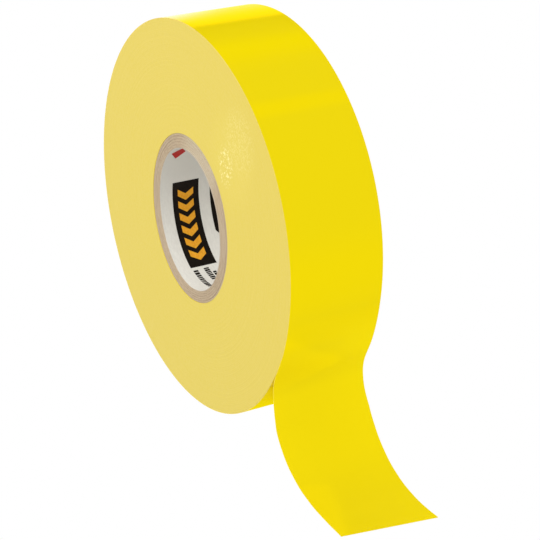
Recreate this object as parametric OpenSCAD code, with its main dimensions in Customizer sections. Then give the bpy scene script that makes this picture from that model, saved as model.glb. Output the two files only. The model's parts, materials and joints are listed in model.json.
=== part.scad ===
// Roll of vinyl electrical tape with a free tail.
// A printed paper liner sits in a core of glued paperboard plies, and the core
// carries the wound tape. The outermost turn and the tail are film and adhesive.
// Millimetres, +Z up. The roll's axis is Y, and the origin is the bore's centre.
// The tape winds clockwise seen from -Y, and its tail leaves on the +X side.

/* [Roll] */
// Width of the tape, and length of the core
tape_width = 19.05; // [12:0.05:25.4]
// Outside diameter of the roll
roll_diameter = 76.2; // [60:0.1:90]

/* [Core] */
// Diameter of the bore, inside the printed liner
bore_diameter = 25.8; // [25:0.1:32]
// Thickness of the printed paper liner
label_thickness = 0.1; // [0.08:0.01:0.2]
// Thickness of one paperboard ply
ply_thickness = 0.56; // [0.3:0.02:0.8]

/* [Tape] */
// Thickness of the vinyl film
film_thickness = 0.15; // [0.1:0.01:0.2]
// Thickness of the adhesive under the film
adhesive_thickness = 0.03; // [0.02:0.005:0.05]
// Gap that lets the outermost turn travel round the wound tape
turn_gap = 0.02; // [0.01:0.01:0.05]
// Arc left bare under the tail, where the next turn shows
bare_arc = 3; // [3:0.5:8]

/* [Tail] */
// Angle below the horizontal of the line where the tail leaves the roll
peel_angle = 32.5; // [0:0.5:60]
// Direction the tail leaves in, below the horizontal
leaving_angle = 91; // [70:1:100]
// Length of the tail
tail_length = 36.1; // [20:0.1:60]
// Bend of each segment next to the roll
tight_bend = 15.4; // [5:0.1:20]
// Bend of each segment next to the cut end
loose_bend = 7.5; // [2:0.1:15]

/* [Hidden] */
$fn = 180;

plies = 5;
tail_segments = 7;
tight_segments = 5;
// How far the round at a segment's start stays inside the film's surfaces
round_inset = 0.015;
// Radius of that round, about the axis that the segment turns on
round_radius = film_thickness / 2 - round_inset;
// Clearance that lets a segment turn past the end of the tape before it
hinge_clearance = 0.025;
// Distance from the segment's axis at which the tape before it ends
bend_gap = film_thickness / 2 + hinge_clearance;

roll_radius = roll_diameter / 2;
ply_start = bore_diameter / 2 + label_thickness;
core_radius = ply_start + plies * ply_thickness;
film_inner = roll_radius - film_thickness;
film_middle = roll_radius - film_thickness / 2;
adhesive_inner = film_inner - adhesive_thickness;
pack_radius = adhesive_inner - turn_gap;
segment_length = tail_length / tail_segments;

film_yellow = [0.95, 0.85, 0.05];
edge_yellow = [0.93, 0.85, 0.42];
adhesive_yellow = [0.88, 0.76, 0.2];
board_tan = [0.76, 0.69, 0.58];
label_white = [0.87, 0.86, 0.83];

// Arc through which a tail segment bends
function bend(i) = i <= tight_segments ? tight_bend : loose_bend;
function bend_radius(i) = segment_length / (bend(i) * PI / 180);

// Direction of travel where a segment starts, anticlockwise from +X seen from -Y
function heading(i) = i == 1 ? -leaving_angle : heading(i - 1) + bend(i - 1);

// Axis that a segment turns about, in the middle of the film where it starts
function axis_x(i) = i == 1
    ? film_middle * cos(peel_angle)
    : axis_x(i - 1) + bend_radius(i - 1) * (sin(heading(i)) - sin(heading(i - 1)));
function axis_z(i) = i == 1
    ? -film_middle * sin(peel_angle)
    : axis_z(i - 1) + bend_radius(i - 1) * (cos(heading(i - 1)) - cos(heading(i)));

// Band across the tape's width, turned through an arc about the Y axis
module band(inner, outer, from, arc) {
    rotate([90, 0, 0])
        rotate([0, 0, from])
            rotate_extrude(angle = arc)
                translate([inner, -tape_width / 2])
                    square([outer - inner, tape_width]);
}

// Outermost turn, from the peel line over the top and back under the tail
module turn(inner, outer) {
    gap_angle = bend_gap / film_middle * 180 / PI;
    band(inner, outer, gap_angle - peel_angle, 360 - bare_arc - gap_angle);
}

// Frame of a tail segment: its axis at the origin, and the tape leaving along +X
module on_segment(i) {
    translate([axis_x(i), 0, axis_z(i)])
        rotate([0, -heading(i), 0])
            children();
}

// Round at the start of a tail segment, about the axis that the segment turns on
module round_start(i) {
    on_segment(i)
        band(0, round_radius, 0, 360);
}

// Layer of one tail segment, between two depths measured outward from mid-film
module tail_layer(i, near, far) {
    radius = bend_radius(i);
    gap_angle = i < tail_segments ? bend_gap / radius * 180 / PI : 0;
    on_segment(i)
        translate([0, 0, radius])
            band(radius + near, radius + far, -90, bend(i) - gap_angle);
}

module core_label() {
    color(label_white)
        band(bore_diameter / 2, ply_start, 0, 360);
}

module core_ply(i) {
    color(board_tan)
        band(ply_start + (i - 1) * ply_thickness, ply_start + i * ply_thickness, 0, 360);
}

module wound_tape() {
    color(edge_yellow)
        band(core_radius, pack_radius, 0, 360);
}

module outer_turn_film() {
    color(film_yellow)
        turn(film_inner, roll_radius);
}

module outer_turn_adhesive() {
    color(adhesive_yellow)
        turn(adhesive_inner, film_inner);
}

module tail_film(i) {
    color(film_yellow) {
        tail_layer(i, -film_thickness / 2, film_thickness / 2);
        round_start(i);
    }
}

module tail_adhesive(i) {
    color(adhesive_yellow)
        tail_layer(i, film_thickness / 2, film_thickness / 2 + adhesive_thickness);
}

core_label();
core_ply(1);  // core_ply_1
core_ply(2);  // core_ply_2
core_ply(3);  // core_ply_3
core_ply(4);  // core_ply_4
core_ply(5);  // core_ply_5
wound_tape();
outer_turn_film();
outer_turn_adhesive();
tail_film(1);  // tail_film_1
tail_film(2);  // tail_film_2
tail_film(3);  // tail_film_3
tail_film(4);  // tail_film_4
tail_film(5);  // tail_film_5
tail_film(6);  // tail_film_6
tail_film(7);  // tail_film_7
tail_adhesive(1);  // tail_adhesive_1
tail_adhesive(2);  // tail_adhesive_2
tail_adhesive(3);  // tail_adhesive_3
tail_adhesive(4);  // tail_adhesive_4
tail_adhesive(5);  // tail_adhesive_5
tail_adhesive(6);  // tail_adhesive_6
tail_adhesive(7);  // tail_adhesive_7
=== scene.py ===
"""Looks of the electrical tape roll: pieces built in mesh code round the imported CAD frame.

Lengths are in millimetres until a mesh is made. The roll's axis is Y, and -Y is the near side.
Angles round the roll run anticlockwise from +X, seen from the near side.
"""
import json
import math
import random
import bmesh
import bpy
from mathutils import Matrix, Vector


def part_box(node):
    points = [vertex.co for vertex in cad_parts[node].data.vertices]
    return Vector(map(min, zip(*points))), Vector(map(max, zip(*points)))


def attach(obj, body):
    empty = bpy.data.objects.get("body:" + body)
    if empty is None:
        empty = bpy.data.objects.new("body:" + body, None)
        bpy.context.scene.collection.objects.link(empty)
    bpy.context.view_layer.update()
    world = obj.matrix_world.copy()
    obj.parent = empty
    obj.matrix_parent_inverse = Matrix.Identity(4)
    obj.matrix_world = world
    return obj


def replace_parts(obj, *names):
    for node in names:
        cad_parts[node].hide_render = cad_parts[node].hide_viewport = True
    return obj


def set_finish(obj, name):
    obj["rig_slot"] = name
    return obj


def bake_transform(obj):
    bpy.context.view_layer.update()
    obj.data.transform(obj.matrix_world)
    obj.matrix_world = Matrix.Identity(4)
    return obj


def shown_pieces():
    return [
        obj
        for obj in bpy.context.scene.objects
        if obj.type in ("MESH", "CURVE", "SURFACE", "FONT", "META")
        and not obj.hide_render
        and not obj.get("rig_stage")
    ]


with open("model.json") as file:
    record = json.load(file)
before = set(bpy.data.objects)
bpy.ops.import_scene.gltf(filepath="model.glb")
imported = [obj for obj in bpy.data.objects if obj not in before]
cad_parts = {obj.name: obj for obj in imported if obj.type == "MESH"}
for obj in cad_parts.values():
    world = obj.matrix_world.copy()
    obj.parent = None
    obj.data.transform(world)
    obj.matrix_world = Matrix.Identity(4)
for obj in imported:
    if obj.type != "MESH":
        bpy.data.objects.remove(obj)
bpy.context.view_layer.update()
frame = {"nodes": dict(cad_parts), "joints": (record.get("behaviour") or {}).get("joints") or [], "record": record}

MM = 0.001
TURN = 2 * math.pi
NEAR = -1
FAR = 1


# ---------------------------------------------------------------- sizes from the frame

def box_mm(node):
    """Lowest and highest corners of a CAD node, in millimetres."""
    low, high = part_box(node)
    return low / MM, high / MM


def joint_place(name):
    """Point on a joint's axis, in millimetres."""
    joint = next(joint for joint in frame["joints"] if joint["name"] == name)
    return Vector(joint["pos_m"]) / MM


HALF_WIDTH = box_mm("wound_tape")[1].y
BORE_RADIUS = next(m for m in frame["record"]["mounts"] if m["name"] == "core_bore")["dims"]["r_mm"]
CORE_RADIUS = box_mm("core_ply_5")[1].x
PACK_RADIUS = box_mm("wound_tape")[1].x
ROLL_RADIUS = box_mm("outer_turn_film")[1].z
PLIES = sum(name.startswith("core_ply_") for name in frame["nodes"])
LABEL = box_mm("core_label")[1].x - BORE_RADIUS
PLY = (CORE_RADIUS - BORE_RADIUS - LABEL) / PLIES
# thickness of the tape's two layers
FILM = 0.15
ADHESIVE = 0.03
FILM_MIDDLE = ROLL_RADIUS - FILM / 2

FOLLOWERS = sum(joint["name"].startswith("tail_curl_") for joint in frame["joints"])
HINGES = [joint_place("tail_peel"), joint_place("tail_curl")]
HINGES += [joint_place(f"tail_curl_{number}") for number in range(2, FOLLOWERS + 2)]
SEGMENTS = len(HINGES)
TAIL_NODE = f"tail_film_{SEGMENTS}"
TAIL_END = Vector((box_mm(TAIL_NODE)[1].x, 0, box_mm(TAIL_NODE)[0].z + FILM / 2))
PEEL_ANGLE = math.atan2(HINGES[0].z, HINGES[0].x)
# arc under the tail where the outermost turn has ended and the next one shows
BARE_ARC = math.radians(3)


# ---------------------------------------------------------------- shape of the core

# share by which the core stands taller than it is round, the tilt of its tall axis past vertical,
# how far it sits low and how much wider it is: in the bore and on the core's outside
BORE_PRESS = (0.062, math.radians(8), 0.3, 0.17)
CORE_PRESS = (0.042, math.radians(-3), 0.08, 0.13)


def between(first, second, share):
    """Value a share of the way from first to second."""
    return first + (second - first) * share


def pressed(radius, angle):
    """Radius at an angle. Paper cores lose their roundness a little; the tape's rim stays round."""
    if radius <= CORE_RADIUS:
        share = (radius - BORE_RADIUS) / (CORE_RADIUS - BORE_RADIUS)
        oval, tilt, low, wide = (between(bore, core, share) for bore, core in zip(BORE_PRESS, CORE_PRESS))
        keep = 1.0
    else:
        oval, tilt, low, wide = CORE_PRESS
        keep = max(0.0, (PACK_RADIUS - radius) / (PACK_RADIUS - CORE_RADIUS)) ** 2
    tall = oval * math.cos(2 * (angle - TURN / 4 - tilt))
    return radius + keep * (tall * radius - low * math.sin(angle) + wide)


# ---------------------------------------------------------------- mesh helpers

def make_piece(name, points, faces, material, slot, sharp=35):
    """Object from points in millimetres. Edges steeper than the sharp angle, in degrees, stay crisp."""
    mesh = bpy.data.meshes.new(name)
    mesh.from_pydata([Vector(point) * MM for point in points], [], faces)
    shape = bmesh.new()
    shape.from_mesh(mesh)
    bmesh.ops.recalc_face_normals(shape, faces=shape.faces)
    shape.to_mesh(mesh)
    shape.free()
    mesh.shade_smooth()
    mesh.set_sharp_from_angle(angle=math.radians(sharp))
    mesh.materials.append(material)
    piece = bpy.data.objects.new(name, mesh)
    bpy.context.scene.collection.objects.link(piece)
    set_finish(piece, slot)
    return piece


def sweep(sections, closed):
    """Points and faces of a solid through closed sections, joined end to end or capped."""
    count = len(sections[0])
    points = [point for section in sections for point in section]
    faces = []
    spans = len(sections) if closed else len(sections) - 1
    for span in range(spans):
        here = span * count
        there = (span + 1) % len(sections) * count
        for corner in range(count):
            after = (corner + 1) % count
            faces.append((here + corner, here + after, there + after, there + corner))
    if not closed:
        last = (len(sections) - 1) * count
        faces.append(tuple(range(count)))
        faces.append(tuple(range(last, last + count)))
    return points, faces


def lathe(profile, steps):
    """Ring whose profile is a closed list of (radius, y), on the slightly oval core."""
    sections = []
    for step in range(steps):
        angle = TURN * step / steps
        section = []
        for radius, y in profile:
            reach = pressed(radius, angle)
            section.append((reach * math.cos(angle), y, reach * math.sin(angle)))
        sections.append(section)
    return sweep(sections, closed=True)


# ---------------------------------------------------------------- node materials

def paint(red, green, blue):
    """Linear colour from an sRGB colour with parts from 0 to 1."""
    def part(value):
        return value / 12.92 if value <= 0.04045 else ((value + 0.055) / 1.055) ** 2.4
    return (part(red), part(green), part(blue), 1.0)


class Nodes:
    """Short calls for the nodes of one tree. A value is a number, a colour or another node's output."""

    def __init__(self, tree):
        self.tree = tree

    def feed(self, value, socket):
        if isinstance(value, bpy.types.NodeSocket):
            self.tree.links.new(value, socket)
        else:
            socket.default_value = value

    def node(self, kind, inputs, output=0, **settings):
        made = self.tree.nodes.new(kind)
        for key, value in settings.items():
            setattr(made, key, value)
        for key, value in inputs.items():
            self.feed(value, made.inputs[key])
        return made.outputs[output]

    def math(self, operation, first, second=0.0):
        return self.node("ShaderNodeMath", {0: first, 1: second}, operation=operation)

    def vector(self, operation, first, second):
        return self.node("ShaderNodeVectorMath", {0: first, 1: second}, operation=operation)

    def length(self, vector):
        return self.node("ShaderNodeVectorMath", {0: vector}, "Value", operation="LENGTH")

    def parts(self, vector):
        made = self.tree.nodes.new("ShaderNodeSeparateXYZ")
        self.feed(vector, made.inputs[0])
        return made.outputs

    def join(self, x, y, z):
        return self.node("ShaderNodeCombineXYZ", {0: x, 1: y, 2: z})

    def noise(self, place, scale=1.0, detail=2.0, roughness=0.5):
        inputs = {"Vector": place, "Scale": scale, "Detail": detail, "Roughness": roughness}
        return self.node("ShaderNodeTexNoise", inputs, "Fac")

    def fit(self, value, low, high, to_low=0.0, to_high=1.0):
        """Smooth step from to_low to to_high as value goes from low to high."""
        inputs = {"Value": value, "From Min": low, "From Max": high, "To Min": to_low, "To Max": to_high}
        return self.node("ShaderNodeMapRange", inputs, interpolation_type="SMOOTHSTEP")

    def mix(self, factor, first, second):
        made = self.tree.nodes.new("ShaderNodeMix")
        made.data_type = "RGBA"
        self.feed(factor, made.inputs[0])
        self.feed(first, made.inputs[6])
        self.feed(second, made.inputs[7])
        return made.outputs[2]

    def bump(self, height, depth):
        """Bump from a height of 0 to 1 that stands for a depth in millimetres."""
        return self.node("ShaderNodeBump", {"Height": height, "Distance": depth * MM, "Strength": 1.0})


class Finish(Nodes):
    """Material with one surface shader, and its place in millimetres."""

    def __init__(self, name):
        self.material = bpy.data.materials.new(name)
        self.material.use_nodes = True
        super().__init__(self.material.node_tree)
        coordinates = self.node("ShaderNodeTexCoord", {}, "Object")
        self.place = self.vector("MULTIPLY", coordinates, (1 / MM, 1 / MM, 1 / MM))
        self.x, self.y, self.z = self.parts(self.place)
        self.radius = self.length(self.join(self.x, 0.0, self.z))

    def stretched(self, x, y, z):
        """Place scaled by its own factor along each axis."""
        return self.vector("MULTIPLY", self.place, (x, y, z))

    def sideways(self):
        """1 on faces that look along the roll's axis, 0 on the others."""
        normal = self.node("ShaderNodeTexCoord", {}, "Normal")
        return self.fit(self.math("ABSOLUTE", self.parts(normal)[1]), 0.35, 0.65)

    def surface(self, colour, roughness, normal=None, specular=0.5, tint=(1, 1, 1, 1)):
        shader = self.tree.nodes["Principled BSDF"]
        self.feed(colour, shader.inputs["Base Color"])
        self.feed(roughness, shader.inputs["Roughness"])
        self.feed(specular, shader.inputs["Specular IOR Level"])
        self.feed(tint, shader.inputs["Specular Tint"])
        if normal:
            self.feed(normal, shader.inputs["Normal"])
        return self.material


def edge_colour(finish):
    """Colour and fine relief of the tape's cut edges: pale yellow, with lines that follow the turns."""
    sway = finish.noise(finish.place, 0.06, 2)
    rings = finish.join(finish.math("ADD", finish.radius, sway), 0.0, 0.0)
    lines = finish.noise(rings, 2.6, 4, 0.75)
    pale = paint(0.803, 0.726, 0.296)
    deep = paint(0.791, 0.714, 0.284)
    return finish.mix(finish.fit(lines, 0.35, 0.65), pale, deep), lines


# oval patches of painted highlight on the side faces, as middle x and z, then half the width and half the height
GLINT_PATCH = (17.0, 17.0, 10.0, 12.0)
BOLD_GLINTS = (14.8, 15.4, 3.4, 5.0)
FINE_GLINTS = (20.0, 21.5, 7.0, 8.0)
BOARD_GLINT_PATCH = (5.0, 13.5, 9.0, 9.0)


def spot(finish, x, z, wide, tall):
    """1 in the middle of an oval patch on the side face, falling to 0 at its edge."""
    across = finish.math("DIVIDE", finish.math("SUBTRACT", finish.x, x), wide)
    up = finish.math("DIVIDE", finish.math("SUBTRACT", finish.z, z), tall)
    return finish.fit(finish.length(finish.join(across, up, 0.0)), 0.4, 1.0, 1.0, 0.0)


def glints(finish, colour):
    """Painted highlight where cut edges catch the light beside the core: a paler patch, with fine bright specks in
    it.
    """
    patch = finish.math("MULTIPLY", spot(finish, *GLINT_PATCH), 0.45)
    colour = finish.mix(patch, colour, paint(0.818, 0.744, 0.305))
    bold = finish.fit(finish.noise(finish.stretched(3.4, 1.0, 2.2), 1.0, 2, 0.6), 0.55, 0.62)
    bold = finish.math("MULTIPLY", bold, spot(finish, *BOLD_GLINTS))
    fine = finish.fit(finish.noise(finish.stretched(4.5, 1.0, 3.0), 1.0, 2, 0.6), 0.5, 0.62, 0.0, 0.3)
    fine = finish.math("MULTIPLY", fine, spot(finish, *FINE_GLINTS))
    near_side = finish.fit(finish.y, 0.0, -1.0)
    bright = finish.math("MULTIPLY", finish.math("MAXIMUM", bold, fine), near_side)
    return finish.mix(bright, colour, paint(0.9, 0.86, 0.58))


def tape_edges():
    """Side face of the wound tape, with film colour on the outer and inner faces."""
    finish = Finish("tape_edges")
    edges, lines = edge_colour(finish)
    edges = glints(finish, edges)
    grain = finish.noise(finish.place, 3.0, 3)
    height = finish.math("ADD", lines, finish.math("MULTIPLY", grain, 0.3))
    colour = finish.mix(finish.sideways(), film_colour(finish), edges)
    roughness = finish.fit(grain, 0.3, 0.7, 0.42, 0.55)
    return finish.surface(colour, roughness, finish.bump(height, 0.01), 0.35)


# painted highlight bands round the rim, standing in for soft reflections: middle and spread, in degrees
FILM_SHEEN_BANDS = ((82, 9), (71, 13), (48.8, 4.2), (-1, 18), (-16, 7), (125, 15), (-165, 14), (-115, 10))
FILM_DEEP = paint(0.94, 0.847, 0.06)
FILM_BRIGHT = paint(0.96, 0.862, 0.03)
# one brighter painted highlight crest across the rim
SHEEN_CREST = (71, 7)
FILM_SHEEN_CREST = paint(0.976, 0.878, 0.0)
# painted light on the tail: its colour beside the roll and at its cut end, both lighter than the rim, and the
# lengths from the rim over which it changes
FILM_TAIL_LIT = paint(0.972, 0.878, 0.055)
FILM_END = paint(0.951, 0.857, 0.055)
TAIL_LIT_SPAN = (0.1, 2.5)
NEARS_END = (12.0, 24.0)
# painted light at the peel line, mostly towards the far edge, making up for the tail's shade on the roll
FILM_PEEL_LIGHT = paint(1.0, 0.91, 0.04)
PEEL_LIGHT = (math.degrees(PEEL_ANGLE) + 6, 17)
PEEL_LIGHT_ACROSS = (-10.0, 9.0)
# cut edge of the outermost turn, which the lights leave out and which has to match the lit turns
FILM_EDGE = paint(0.89, 0.813, 0.405)


def band(finish, angle, middle, spread, peak=1.0):
    """Peak at a middle angle round the roll, falling to 0 a spread to either side, both in degrees."""
    gap = finish.math("ABSOLUTE", finish.math("SUBTRACT", angle, math.radians(middle)))
    return finish.fit(gap, 0.0, math.radians(spread), peak, 0.0)


def film_colour(finish):
    """Colour of the film: painted highlight bands across the rim, and painted light on the tail, strongest at the
    peel line where the tail shades the roll.
    """
    angle = finish.math("ARCTAN2", finish.z, finish.x)
    share = finish.math("MULTIPLY", finish.noise(finish.stretched(0.06, 0.01, 0.06), 1.0, 1), 0.5)
    # painted highlight: bright bands round the rim, added to the random tone
    for middle, spread in FILM_SHEEN_BANDS:
        share = finish.math("ADD", share, band(finish, angle, middle, spread, 0.8))
    rim = finish.mix(finish.fit(share, 0.1, 1.0), FILM_DEEP, FILM_BRIGHT)
    # painted highlight: one brighter crest across the rim
    rim = finish.mix(band(finish, angle, *SHEEN_CREST), rim, FILM_SHEEN_CREST)
    # painted light: the tail lighter than the rim, a little less so at its cut end
    off_rim = finish.math("SUBTRACT", finish.radius, ROLL_RADIUS)
    tail = finish.mix(finish.fit(off_rim, *NEARS_END), FILM_TAIL_LIT, FILM_END)
    colour = finish.mix(finish.fit(off_rim, *TAIL_LIT_SPAN), rim, tail)
    # painted light where the tail shades the roll at the peel line
    across = finish.fit(finish.y, *PEEL_LIGHT_ACROSS)
    stretched = finish.math("MULTIPLY", band(finish, angle, *PEEL_LIGHT), across)
    return finish.mix(stretched, colour, FILM_PEEL_LIGHT)


def vinyl_film(name, edges_show_turns):
    """Glossy film with a slight orange peel and fine lines along its length."""
    finish = Finish(name)
    colour = film_colour(finish)
    if edges_show_turns:
        colour = finish.mix(finish.sideways(), colour, FILM_EDGE)
    peel = finish.noise(finish.place, 0.9, 2)
    lines = finish.noise(finish.join(0.0, finish.y, 0.0), 4.0, 3)
    height = finish.math("ADD", finish.math("MULTIPLY", peel, 0.7), finish.math("MULTIPLY", lines, 0.3))
    roughness = finish.fit(peel, 0.3, 0.7, 0.1, 0.14)
    return finish.surface(colour, roughness, finish.bump(height, 0.0022), 0.5, paint(1, 0.93, 0.0))


def adhesive():
    """Tacky layer under the film, a little deeper in colour and faintly mottled."""
    finish = Finish("adhesive")
    mottle = finish.noise(finish.place, 0.7, 3)
    colour = finish.mix(finish.fit(mottle, 0.3, 0.7), paint(0.88, 0.77, 0.16), paint(0.92, 0.82, 0.22))
    fine = finish.noise(finish.place, 5.0, 2)
    return finish.surface(colour, finish.fit(mottle, 0.3, 0.7, 0.3, 0.45), finish.bump(fine, 0.006))


def core_board():
    """Grey-tan paperboard: short fibres along the plies, darker glue lines between them, and a painted highlight
    patch of pale flecks.
    """
    finish = Finish("core_board")
    fibre_place = finish.join(finish.math("MULTIPLY", finish.radius, 9.0), finish.y, finish.x)
    fibres = finish.noise(fibre_place, 1.3, 4, 0.65)
    flecks = finish.noise(finish.place, 6.0, 3)
    colour = finish.mix(finish.fit(fibres, 0.38, 0.62), paint(0.632, 0.56, 0.46), paint(0.7, 0.628, 0.528))
    colour = finish.mix(finish.fit(flecks, 0.62, 0.72, 0.0, 0.5), colour, paint(0.62, 0.53, 0.45))
    # painted highlight: pale flecks in a patch on the board's end, beside the glints on the tape
    pale = finish.math("MULTIPLY", spot(finish, *BOARD_GLINT_PATCH), finish.fit(flecks, 0.45, 0.55, 0.2, 0.8))
    colour = finish.mix(pale, colour, paint(0.735, 0.69, 0.59))
    depth = finish.math("SUBTRACT", finish.radius, BORE_RADIUS + LABEL)
    turns = finish.math("FRACT", finish.math("DIVIDE", depth, PLY))
    from_middle = finish.math("ABSOLUTE", finish.math("SUBTRACT", turns, 0.5))
    colour = finish.mix(finish.fit(from_middle, 0.36, 0.5, 0.0, 0.45), colour, paint(0.6, 0.52, 0.46))
    height = finish.math("ADD", fibres, finish.math("MULTIPLY", flecks, 0.5))
    return finish.surface(colour, 0.85, finish.bump(height, 0.03), 0.2)


def label_paper():
    """Smooth coated paper with a faint fibre, and painted shade darker towards the top of the bore."""
    finish = Finish("label_paper")
    fibre = finish.noise(finish.stretched(1.2, 3.0, 1.2), 1.0, 4)
    colour = finish.mix(finish.fit(fibre, 0.3, 0.7), paint(0.838, 0.828, 0.795), paint(0.868, 0.858, 0.825))
    # painted shade: the paper darker towards the top of the bore, where less light reaches
    colour = finish.mix(finish.fit(finish.z, -8.0, 10.0), colour, paint(0.815, 0.805, 0.768))
    colour = finish.mix(finish.sideways(), colour, paint(0.7, 0.63, 0.54))
    return finish.surface(colour, finish.fit(fibre, 0.3, 0.7, 0.5, 0.62), finish.bump(fibre, 0.004), 0.3)


def ink(name, light, dark):
    """Printed ink with a slight mottle from the paper below."""
    finish = Finish(name)
    mottle = finish.noise(finish.place, 2.5, 3)
    colour = finish.mix(finish.fit(mottle, 0.35, 0.65), dark, light)
    return finish.surface(colour, finish.fit(mottle, 0.3, 0.7, 0.4, 0.55), finish.bump(mottle, 0.003), 0.15)


EDGES = tape_edges()
TURN_FILM = vinyl_film("vinyl_film", edges_show_turns=True)
TAIL_FILM = vinyl_film("vinyl_film_tail", edges_show_turns=False)
ADHESIVE_LAYER = adhesive()
BOARD = core_board()
PAPER = label_paper()
BLACK_INK = ink("ink_black", paint(0.11, 0.085, 0.065), paint(0.075, 0.055, 0.04))
ORANGE_INK = ink("ink_orange", paint(0.9, 0.64, 0.17), paint(0.86, 0.59, 0.14))
RED_INK = ink("ink_red", paint(0.72, 0.18, 0.17), paint(0.66, 0.15, 0.15))


# ---------------------------------------------------------------- core

# steps round a full ring, and the corners of the liner and of a ply
RING_STEPS = 240
LINER_BEVEL = 0.03
PLY_BEVEL = 0.07
# how far short of the side faces a ply's end may stand
PLY_RECESS = 0.06


def ring_profile(inner, outer, near_end, far_end, bevel):
    """Rectangle with bevelled corners, as a closed list of (radius, y)."""
    return [
        (inner, near_end + bevel), (inner + bevel, near_end),
        (outer - bevel, near_end), (outer, near_end + bevel),
        (outer, far_end - bevel), (outer - bevel, far_end),
        (inner + bevel, far_end), (inner, far_end - bevel),
    ]


def build_core():
    """Paper liner and the plies round it. Each ply's end stands at its own depth, as cut board does."""
    depths = random.Random(5)
    profile = ring_profile(BORE_RADIUS, BORE_RADIUS + LABEL, -HALF_WIDTH, HALF_WIDTH, LINER_BEVEL)
    liner = make_piece("core_liner", *lathe(profile, RING_STEPS), PAPER, "label_paper")
    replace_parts(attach(liner, "roll"), "core_label")
    for number in range(1, PLIES + 1):
        inner = BORE_RADIUS + LABEL + (number - 1) * PLY
        near_end = -HALF_WIDTH + depths.uniform(0.0, PLY_RECESS)
        far_end = HALF_WIDTH - depths.uniform(0.0, PLY_RECESS)
        profile = ring_profile(inner, inner + PLY, near_end, far_end, PLY_BEVEL)
        ply = make_piece(f"core_board_ply_{number}", *lathe(profile, RING_STEPS), BOARD, "core_board")
        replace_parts(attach(ply, "roll"), f"core_ply_{number}")


# ---------------------------------------------------------------- print on the liner

# angles in degrees round the bore, depths in millimetres from its near end
# the print comes again after this turn; an ink layer's thickness; and its longest mesh cell
PRINT_PERIOD = 180
INK_LIFT = 0.012
CELL_DEGREES = 2.5
# first angle, last angle, near edge, far edge, and for a rounded end the angle that it takes
CHEVRON_PANEL = (168, 248.8, 2.75, 8.5)
PLAIN_PANEL = (134, 224.5, 10.98, 16.9, 5)
RED_DIAMOND = (120, 139, 0.9, 3.8)
CHEVRONS = 6
CHEVRON_START = 175.5
CHEVRON_STEP = 11.2
# thickness and reach of one chevron, then its near and far edges
CHEVRON = (6.4, 5.0, 3.9, 7.3)
# near edge, far edge, first angle and last angle of each line of bars
SMALL_PRINT = ((2.9, 3.9, 252, 276), (5.2, 6.3, 251.5, 267), (6.6, 7.3, 257, 264))


def ink_shape(rows, low, high):
    """Thin closed solid on the bore. Rows are (depth from the near end, first and last angle in degrees)."""
    cells = max(1, math.ceil(max(last - first for depth, first, last in rows) / CELL_DEGREES))
    points = []
    for lift in (low, high):
        for depth, first, last in rows:
            for cell in range(cells + 1):
                angle = math.radians(first + (last - first) * cell / cells)
                reach = pressed(BORE_RADIUS, angle) - lift
                points.append((reach * math.cos(angle), depth - HALF_WIDTH, reach * math.sin(angle)))
    wide = cells + 1
    sheet = len(rows) * wide
    faces = []
    for row in range(len(rows) - 1):
        for cell in range(cells):
            here = row * wide + cell
            quad = (here, here + 1, here + wide + 1, here + wide)
            faces.append(quad)
            faces.append(tuple(sheet + corner for corner in quad))
    border = list(range(wide))
    border += [row * wide + cells for row in range(1, len(rows))]
    border += [(len(rows) - 1) * wide + cell for cell in range(cells - 1, -1, -1)]
    border += [row * wide for row in range(len(rows) - 2, 0, -1)]
    for here, there in zip(border, border[1:] + border[:1]):
        faces.append((here, there, there + sheet, here + sheet))
    return points, faces


def print_piece(name, shapes, layer, material):
    """One ink piece from many shapes, each repeated round the bore."""
    points = []
    faces = []
    for rows in shapes:
        for turn in (0, PRINT_PERIOD):
            turned = [(depth, first + turn, last + turn) for depth, first, last in rows]
            # the first layer starts inside the paper, and a second one starts on the first
            low = (layer - 1) * INK_LIFT if layer > 1 else -INK_LIFT / 2
            shape_points, shape_faces = ink_shape(turned, low, layer * INK_LIFT)
            faces += [tuple(len(points) + corner for corner in face) for face in shape_faces]
            points += shape_points
    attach(make_piece(name, points, faces, material, "label_paper"), "roll")


def panel(first, last, near_edge, far_edge, round_degrees=0.0):
    """Rows of a panel whose last end is rounded through an angle, or square."""
    rows = []
    steps = 12 if round_degrees else 1
    for step in range(steps + 1):
        across = 2 * step / steps - 1
        drop = round_degrees * (1 - math.sqrt(1 - across * across))
        rows.append((near_edge + (far_edge - near_edge) * step / steps, first, last - drop))
    return rows


def chevron(first, thick, reach, near_edge, far_edge):
    """Rows of one chevron that points forward along the bore's turn."""
    middle = (near_edge + far_edge) / 2
    return [
        (near_edge, first, first + thick),
        (middle, first + reach, first + reach + thick),
        (far_edge, first, first + thick),
    ]


def diamond(first, last, near_edge, far_edge):
    """Rows of a diamond."""
    centre = (first + last) / 2
    tip = 0.02 * (last - first)
    return [
        (near_edge, centre - tip, centre + tip),
        ((near_edge + far_edge) / 2, first, last),
        (far_edge, centre - tip, centre + tip),
    ]


def small_print():
    """Lines of short plain bars where a label carries its fine print."""
    lengths = random.Random(11)
    bars = []
    for near_edge, far_edge, first, last in SMALL_PRINT:
        angle = first
        while angle < last:
            bar = lengths.uniform(1.2, 2.8)
            bars.append(panel(angle, angle + bar, near_edge, far_edge))
            angle += bar + lengths.uniform(0.45, 0.8)
    return bars


def build_print():
    """Generic print: dark panels, a row of chevrons, a diamond and bars. It holds no letters."""
    dark = [panel(*CHEVRON_PANEL), panel(*PLAIN_PANEL)]
    chevrons = [chevron(CHEVRON_START + CHEVRON_STEP * number, *CHEVRON) for number in range(CHEVRONS)]
    print_piece("label_panels", dark, 1, BLACK_INK)
    print_piece("label_chevrons", chevrons, 2, ORANGE_INK)
    print_piece("label_diamond", [diamond(*RED_DIAMOND)], 1, RED_INK)
    print_piece("label_small_print", small_print(), 1, BLACK_INK)


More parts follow.
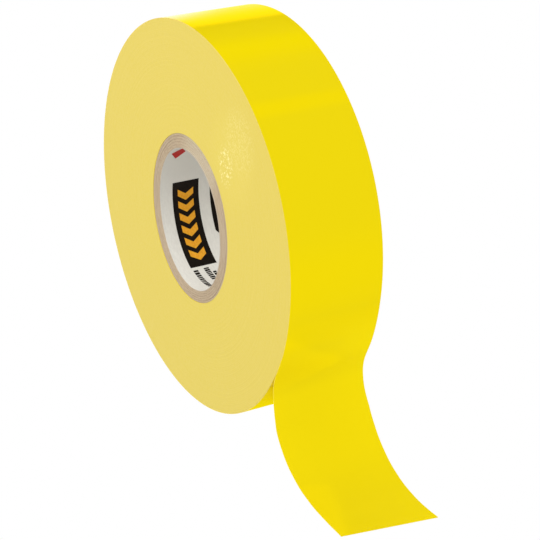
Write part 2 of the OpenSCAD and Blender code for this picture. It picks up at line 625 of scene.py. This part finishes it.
# ---------------------------------------------------------------- wound tape

# rings on a side face, how far one may stand back, the groove at its edges, and the face's corner
SIDE_RINGS = 62
SIDE_WANDER = 0.008
SIDE_GROOVE = 0.006
SIDE_CORNER = 0.008


def side_profile(side, wander):
    """Side face from core to rim as (radius, y). Neighbouring turns stand a little proud or shy."""
    profile = []
    wide = (PACK_RADIUS - CORE_RADIUS) / SIDE_RINGS
    for ring in range(SIDE_RINGS):
        inner = CORE_RADIUS + ring * wide
        recess = wander.uniform(0.0, SIDE_WANDER)
        for share, drop in ((0.1, SIDE_GROOVE), (0.35, 0.0), (0.65, 0.0), (0.9, SIDE_GROOVE)):
            profile.append((inner + share * wide, side * (HALF_WIDTH - recess - drop)))
    return profile


def build_wound_tape():
    """All turns under the outermost one, as one ring with stepped side faces."""
    wander = random.Random(21)
    near = side_profile(NEAR, wander)
    far = side_profile(FAR, wander)
    edge = HALF_WIDTH - SIDE_CORNER
    profile = [(CORE_RADIUS, -edge)] + near + [(PACK_RADIUS, -edge)]
    profile += [(PACK_RADIUS, edge)] + far[::-1] + [(CORE_RADIUS, edge)]
    tape = make_piece("wound_tape_turns", *lathe(profile, RING_STEPS), EDGES, "tape_edges", 60)
    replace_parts(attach(tape, "roll"), "wound_tape")


# ---------------------------------------------------------------- path of the tape

HALF_SEGMENT_STEPS = 8
# length of a segment's arc over the straight distance between its hinges
ARC_SHARE = 1.003
SEGMENT_LENGTH = (HINGES[1] - HINGES[0]).length * ARC_SHARE
STEP = SEGMENT_LENGTH / 2 / HALF_SEGMENT_STEPS
# steps before the peel line at which the tail's first length joins the turn
JOIN_STEPS = 20
# length over which the bend evens out, the deviations it reaches, and its samples to either side
SOFTNESS = 1.7
SOFT_REACH = 3
SOFT_TAPS = 9
# finer steps inside each step while the path is traced
FINER = 6


def heading_of(chord):
    """Direction of a chord in the plane across the roll's axis."""
    return math.atan2(chord.z, chord.x)


# direction of each segment's chord, which the film has at the segment's middle
MID_HEADINGS = [
    heading_of(after - before) for before, after in zip(HINGES, HINGES[1:] + [TAIL_END])
]


def crisp_heading(s):
    """Direction of the tape at a length s past the peel line. Before it, the tape follows the roll."""
    if s < 0:
        return PEEL_ANGLE - s / FILM_MIDDLE - TURN / 4
    # segments from the middle of the first one, and the whole one below
    along = min(max(s / SEGMENT_LENGTH - 0.5, -0.5), SEGMENTS - 0.5)
    low = min(max(math.floor(along), 0), SEGMENTS - 2)
    step = MID_HEADINGS[low + 1] - MID_HEADINGS[low]
    return MID_HEADINGS[low] + step * (along - low)


def soft_heading(s):
    """Direction averaged over nearby lengths, because film bends and doesn't fold."""
    total = 0.0
    weights = 0.0
    for tap in range(-SOFT_TAPS, SOFT_TAPS + 1):
        offset = SOFT_REACH * tap / SOFT_TAPS
        weight = math.exp(-offset * offset / 2)
        total += weight * crisp_heading(s + SOFTNESS * offset)
        weights += weight
    return total / weights


def hinge_ripple(s):
    """Extra heading that gathers the bend at the hinges, so the tail lies straight when they turn back."""
    along = s / SEGMENT_LENGTH - 0.5
    low = math.floor(along)
    if low < 0 or low > SEGMENTS - 2:
        return 0.0
    share = along - low
    return (MID_HEADINGS[low + 1] - MID_HEADINGS[low]) * (share * share * (3 - 2 * share) - share)


def heading_at(s):
    """Direction of the film at a length s past the peel line."""
    return soft_heading(s) + hinge_ripple(s)


def trace_tail():
    """Middle of the film at every step from the join on the roll to the tail's end, with its heading."""
    start = -JOIN_STEPS * STEP
    angle = PEEL_ANGLE - start / FILM_MIDDLE
    place = Vector((FILM_MIDDLE * math.cos(angle), 0, FILM_MIDDLE * math.sin(angle)))
    stations = []
    for number in range(-JOIN_STEPS, 2 * SEGMENTS * HALF_SEGMENT_STEPS + 1):
        stations.append((place.copy(), heading_at(number * STEP)))
        for part in range(FINER):
            heading = heading_at((number + (part + 0.5) / FINER) * STEP)
            place += Vector((math.cos(heading), 0, math.sin(heading))) * (STEP / FINER)
    return stations


STATIONS = trace_tail()
TAIL_LENGTH = 2 * SEGMENTS * HALF_SEGMENT_STEPS * STEP
# the tail twists to and fro as it falls: how far, in how many half waves, and where it sets in
TWIST = 0.95
TWIST_HALF_WAVES = 1.6
TWIST_SETS_IN = 0.25
# the far edge starts to lift before the peel line: how far, where, and over what length
LIFT = 0.25
LIFT_AT = -4.5
LIFT_SPREAD = 7.0
# the tail hangs inside the hinges' arc along its middle and outside it at its cut end
SAG_MIDDLE = 0.28
SAG_END = 0.49
# how far the cut end's far edge reaches on, and its near edge falls back
CUT_SLANT = 1.0


def station(number):
    """Place and heading at a step counted from the peel line."""
    return STATIONS[number + JOIN_STEPS]


def stand_off(s, share):
    """How far the tape stands outward at a length s past the peel line, share -1 near to 1 far."""
    progress = max(s, 0) / TAIL_LENGTH
    ease = min(progress / TWIST_SETS_IN, 1) ** 2
    lean = TWIST * math.sin(TWIST_HALF_WAVES * math.pi * progress) * (1 - progress / 2) * ease
    lifted = LIFT * math.exp(-((s - LIFT_AT) / LIFT_SPREAD) ** 2)
    rise = progress ** 2 * (3 - 2 * progress)
    slack = SAG_END * rise - SAG_MIDDLE * math.sin(math.pi * progress) * (1 - progress)
    return lean * share + lifted * max(share, 0) ** 2 + slack


# ---------------------------------------------------------------- film and adhesive

# cells across the tape, the film's corner, and how far the adhesive stays inside the film's edge
COLUMNS = 12
FILM_BEVEL = 0.02
ADHESIVE_INSET = 0.008


def strip_section(low, high, half, bevel):
    """Flat bar across the tape as a closed list of (y, height), with its corners bevelled."""
    inside = half - bevel
    row = [-inside + 2 * inside * column / COLUMNS for column in range(COLUMNS + 1)]
    top = [(y, high) for y in row]
    bottom = [(y, low) for y in reversed(row)]
    if not bevel:
        return top + bottom
    right = [(half, high - bevel), (half, low + bevel)]
    left = [(-half, low + bevel), (-half, high - bevel)]
    return top + right + bottom + left


FILM_SECTION = strip_section(-FILM / 2, FILM / 2, HALF_WIDTH, FILM_BEVEL)
ADHESIVE_SECTION = strip_section(-FILM / 2 - ADHESIVE, -FILM / 2, HALF_WIDTH - ADHESIVE_INSET, 0)


def tail_section(section, number, slant):
    """Section placed at one step of the tail. Slant moves the far edge on and the near edge back."""
    place, heading = station(number)
    along = Vector((math.cos(heading), 0, math.sin(heading)))
    outward = Vector((-math.sin(heading), 0, math.cos(heading)))
    points = []
    for y, height in section:
        share = y / HALF_WIDTH
        off = height + stand_off(number * STEP, share)
        side = place + outward * off + along * (slant * share)
        points.append((side.x, y, side.z))
    return points


def tail_piece(name, section, hinge, material, slot, node):
    """Length of tape centred on one hinge."""
    middle = 2 * hinge * HALF_SEGMENT_STEPS
    first = -JOIN_STEPS if hinge == 0 else middle - HALF_SEGMENT_STEPS
    last = middle + HALF_SEGMENT_STEPS
    at_end = hinge == SEGMENTS - 1
    if at_end:
        last = 2 * SEGMENTS * HALF_SEGMENT_STEPS
    sections = []
    for number in range(first, last + 1):
        slant = CUT_SLANT * (number - first) / (last - first) if at_end else 0.0
        sections.append(tail_section(section, number, slant))
    piece = make_piece(name, *sweep(sections, closed=False), material, slot)
    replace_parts(piece, node)
    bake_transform(piece)


def build_tail():
    """Seven lengths of film, each with its layer of adhesive."""
    for hinge in range(SEGMENTS):
        number = hinge + 1
        name = f"tail_film_length_{number}"
        tail_piece(name, FILM_SECTION, hinge, TAIL_FILM, "vinyl_film", f"tail_film_{number}")
        name = f"tail_adhesive_length_{number}"
        tail_piece(name, ADHESIVE_SECTION, hinge, ADHESIVE_LAYER, "adhesive", f"tail_adhesive_{number}")


TURN_STEPS = 300
# the turn's inner end thins away over an arc, to a share of its thickness
TAPER = math.radians(14)
THIN_END = 0.12


def turn_piece(name, section, material, slot, node):
    """Outermost turn, from the join with the tail back round to its inner end, where it thins away."""
    base = min(height for y, height in section)
    first = PEEL_ANGLE + JOIN_STEPS * STEP / FILM_MIDDLE
    last = PEEL_ANGLE + TURN - BARE_ARC
    sections = []
    for step in range(TURN_STEPS + 1):
        angle = between(first, last, step / TURN_STEPS)
        keep = min(1.0, THIN_END + (last - angle) / TAPER)
        points = []
        for y, height in section:
            off = stand_off((PEEL_ANGLE - angle) * FILM_MIDDLE, y / HALF_WIDTH)
            reach = FILM_MIDDLE + base + (height - base) * keep + off
            points.append((reach * math.cos(angle), y, reach * math.sin(angle)))
        sections.append(points)
    piece = make_piece(name, *sweep(sections, closed=False), material, slot)
    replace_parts(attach(piece, "outer_turn"), node)


def build_outer_turn():
    """Film and adhesive of the outermost turn."""
    turn_piece("outer_turn_vinyl", FILM_SECTION, TURN_FILM, "vinyl_film", "outer_turn_film")
    turn_piece("outer_turn_glue", ADHESIVE_SECTION, ADHESIVE_LAYER, "adhesive", "outer_turn_adhesive")


# ---------------------------------------------------------------- stage, light and camera

# camera's direction from the origin, its distance, its focal length and its shift across the view
AZIMUTH = math.radians(60.2)
ELEVATION = math.radians(23.8)
DISTANCE = 340.2
LENS = 118.0
AIM_RIGHT = 7.12
AIM_UP = -11.69
# floor's depth under the roll's centre and half its side, in metres
FLOOR_DROP = 0.13
FLOOR_REACH = 3.0
# soft lights: power in watts, then width and places in metres
LIGHT_POWER = 3.5
LIGHT_SIZE = 0.5
KEY_PLACE = Vector((0.05, -0.57, 0.57))
FILL_PLACE = Vector((0.05, 0.57, 0.57))
# brightness of the even white light
AMBIENT = 1.06
# colours of the wall that glossy surfaces mirror
DARK = (0, 0, 0, 1)
WALL_WHITE = (1.5, 1.3, 1.15, 1)
WALL_YELLOW = (1.45, 1.08, 0.22, 1)
WALL_TOP = (2.0, 1.3, 0.0, 1)
WALL_FOOT = (0.95, 0.78, 0.0, 1)


def build_world():
    """Even white light. Glossy surfaces mirror a wall instead, yellower towards its top and far end."""
    world = bpy.data.worlds.new("studio")
    world.use_nodes = True
    bpy.context.scene.world = world
    nodes = Nodes(world.node_tree)
    direction = nodes.node("ShaderNodeTexCoord", {}, "Generated")
    across, deep, high = nodes.parts(direction)
    behind = nodes.math("SUBTRACT", nodes.math("MULTIPLY", deep, 0.5), nodes.math("MULTIPLY", across, 0.86))
    lit = nodes.math("MULTIPLY", nodes.fit(high, 0.37, 0.41, 1.0, 0.0), nodes.fit(behind, 0.1, 0.35))
    white = nodes.mix(nodes.fit(deep, 0.42, 0.46), WALL_WHITE, WALL_YELLOW)
    warm = nodes.mix(nodes.fit(high, -0.05, 0.33), white, WALL_TOP)
    below = nodes.math("MULTIPLY", nodes.fit(high, -0.35, -0.15, 1.0, 0.0), nodes.fit(deep, -0.1, 0.2))
    wall = nodes.mix(lit, DARK, nodes.mix(below, warm, WALL_FOOT))
    paths = world.node_tree.nodes.new("ShaderNodeLightPath")
    ambient = (AMBIENT, AMBIENT, AMBIENT, 1)
    strength = nodes.mix(paths.outputs["Is Glossy Ray"], ambient, wall)
    nodes.feed(strength, world.node_tree.nodes["Background"].inputs["Color"])


def build_floor():
    """Plain pale floor below every pose of the tail, bright enough to show no shadow."""
    mesh = bpy.data.meshes.new("floor")
    corners = [(-1, -1), (1, -1), (1, 1), (-1, 1)]
    points = [(x * FLOOR_REACH, y * FLOOR_REACH, -FLOOR_DROP) for x, y in corners]
    mesh.from_pydata(points, [], [(0, 1, 2, 3)])
    material = bpy.data.materials.new("floor")
    material.use_nodes = True
    tree = material.node_tree
    glow = tree.nodes.new("ShaderNodeEmission")
    tree.links.new(glow.outputs[0], tree.nodes["Material Output"].inputs["Surface"])
    mesh.materials.append(material)
    floor = bpy.data.objects.new("floor", mesh)
    floor.visible_glossy = False
    bpy.context.scene.collection.objects.link(floor)
    floor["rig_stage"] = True


def soft_light(name, place, slots):
    """Large soft light aimed at the roll. It lights only pieces in the named material slots."""
    light = bpy.data.lights.new(name, "AREA")
    light.shape = "DISK"
    light.size = LIGHT_SIZE
    light.energy = LIGHT_POWER
    lamp = bpy.data.objects.new(name, light)
    lamp.location = place
    lamp.rotation_mode = "QUATERNION"
    lamp.rotation_quaternion = (-place).to_track_quat("-Z", "Y")
    lamp.visible_glossy = False
    bpy.context.scene.collection.objects.link(lamp)
    lit = bpy.data.collections.new("lit_by_" + name)
    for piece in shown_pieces():
        if piece["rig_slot"] in slots:
            lit.objects.link(piece)
    lamp.light_linking.receiver_collection = lit


def build_lights():
    """Key in front of the near side and a fill behind the far side, both above. The film needs neither."""
    soft_light("key", KEY_PLACE, ("label_paper", "core_board", "tape_edges", "adhesive"))
    soft_light("fill", FILL_PLACE, ("core_board", "tape_edges"))


def build_camera():
    """Camera at the object's viewing angle, aimed so that the roll and its tail fill the frame."""
    back = Vector((
        math.sin(AZIMUTH) * math.cos(ELEVATION),
        -math.cos(AZIMUTH) * math.cos(ELEVATION),
        math.sin(ELEVATION),
    ))
    right = Vector((math.cos(AZIMUTH), math.sin(AZIMUTH), 0))
    up = back.cross(right)
    data = bpy.data.cameras.new("camera")
    data.lens = LENS
    data.sensor_width = 36
    data.clip_start = 0.01
    camera = bpy.data.objects.new("camera", data)
    camera.location = (back * DISTANCE + right * AIM_RIGHT + up * AIM_UP) * MM
    camera.rotation_mode = "QUATERNION"
    camera.rotation_quaternion = (-back).to_track_quat("-Z", "Y")
    bpy.context.scene.collection.objects.link(camera)
    bpy.context.scene.camera = camera


build_core()
build_print()
build_wound_tape()
build_outer_turn()
build_tail()
build_world()
build_floor()
build_lights()
build_camera()
bpy.context.scene.view_settings.view_transform = "Standard"
